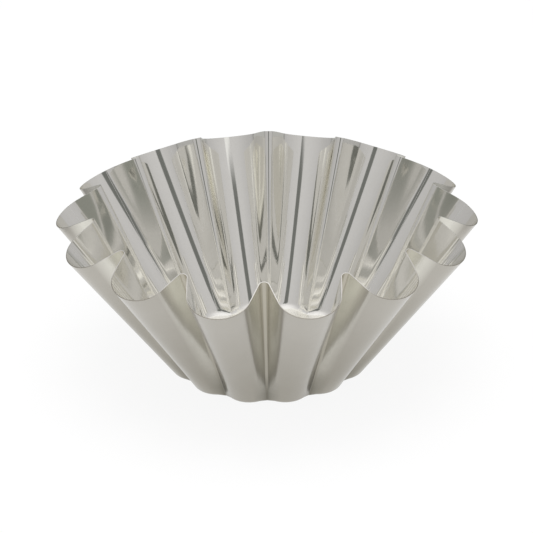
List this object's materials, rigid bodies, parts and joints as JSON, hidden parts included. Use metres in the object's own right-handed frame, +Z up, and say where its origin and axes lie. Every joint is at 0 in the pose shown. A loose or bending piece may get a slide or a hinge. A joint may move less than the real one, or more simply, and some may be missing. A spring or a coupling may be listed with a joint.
{
  "type": "fluted brioche mould",
  "caption": "Round deep-fluted baking tin with flaring straight walls, a scalloped plain-cut rim and a small flat round floor.",
  "frame": {"origin": "centre of the floor's underside, on the surface that the tin stands on", "axes": "+Z up along the tin's axis, out of its open mouth; a ridge lies at each end of the Y axis and a lobe at each end of the X axis"},
  "size_m": [0.16, 0.1568, 0.0665],
  "materials": {
    "tinplate": "satin tin-plated steel, bright where it turns to the light, with faint drawing lines down the walls"
  },
  "bodies": {
    "root": {"mould_shell": "tinplate"}
  },
  "joints": []
}
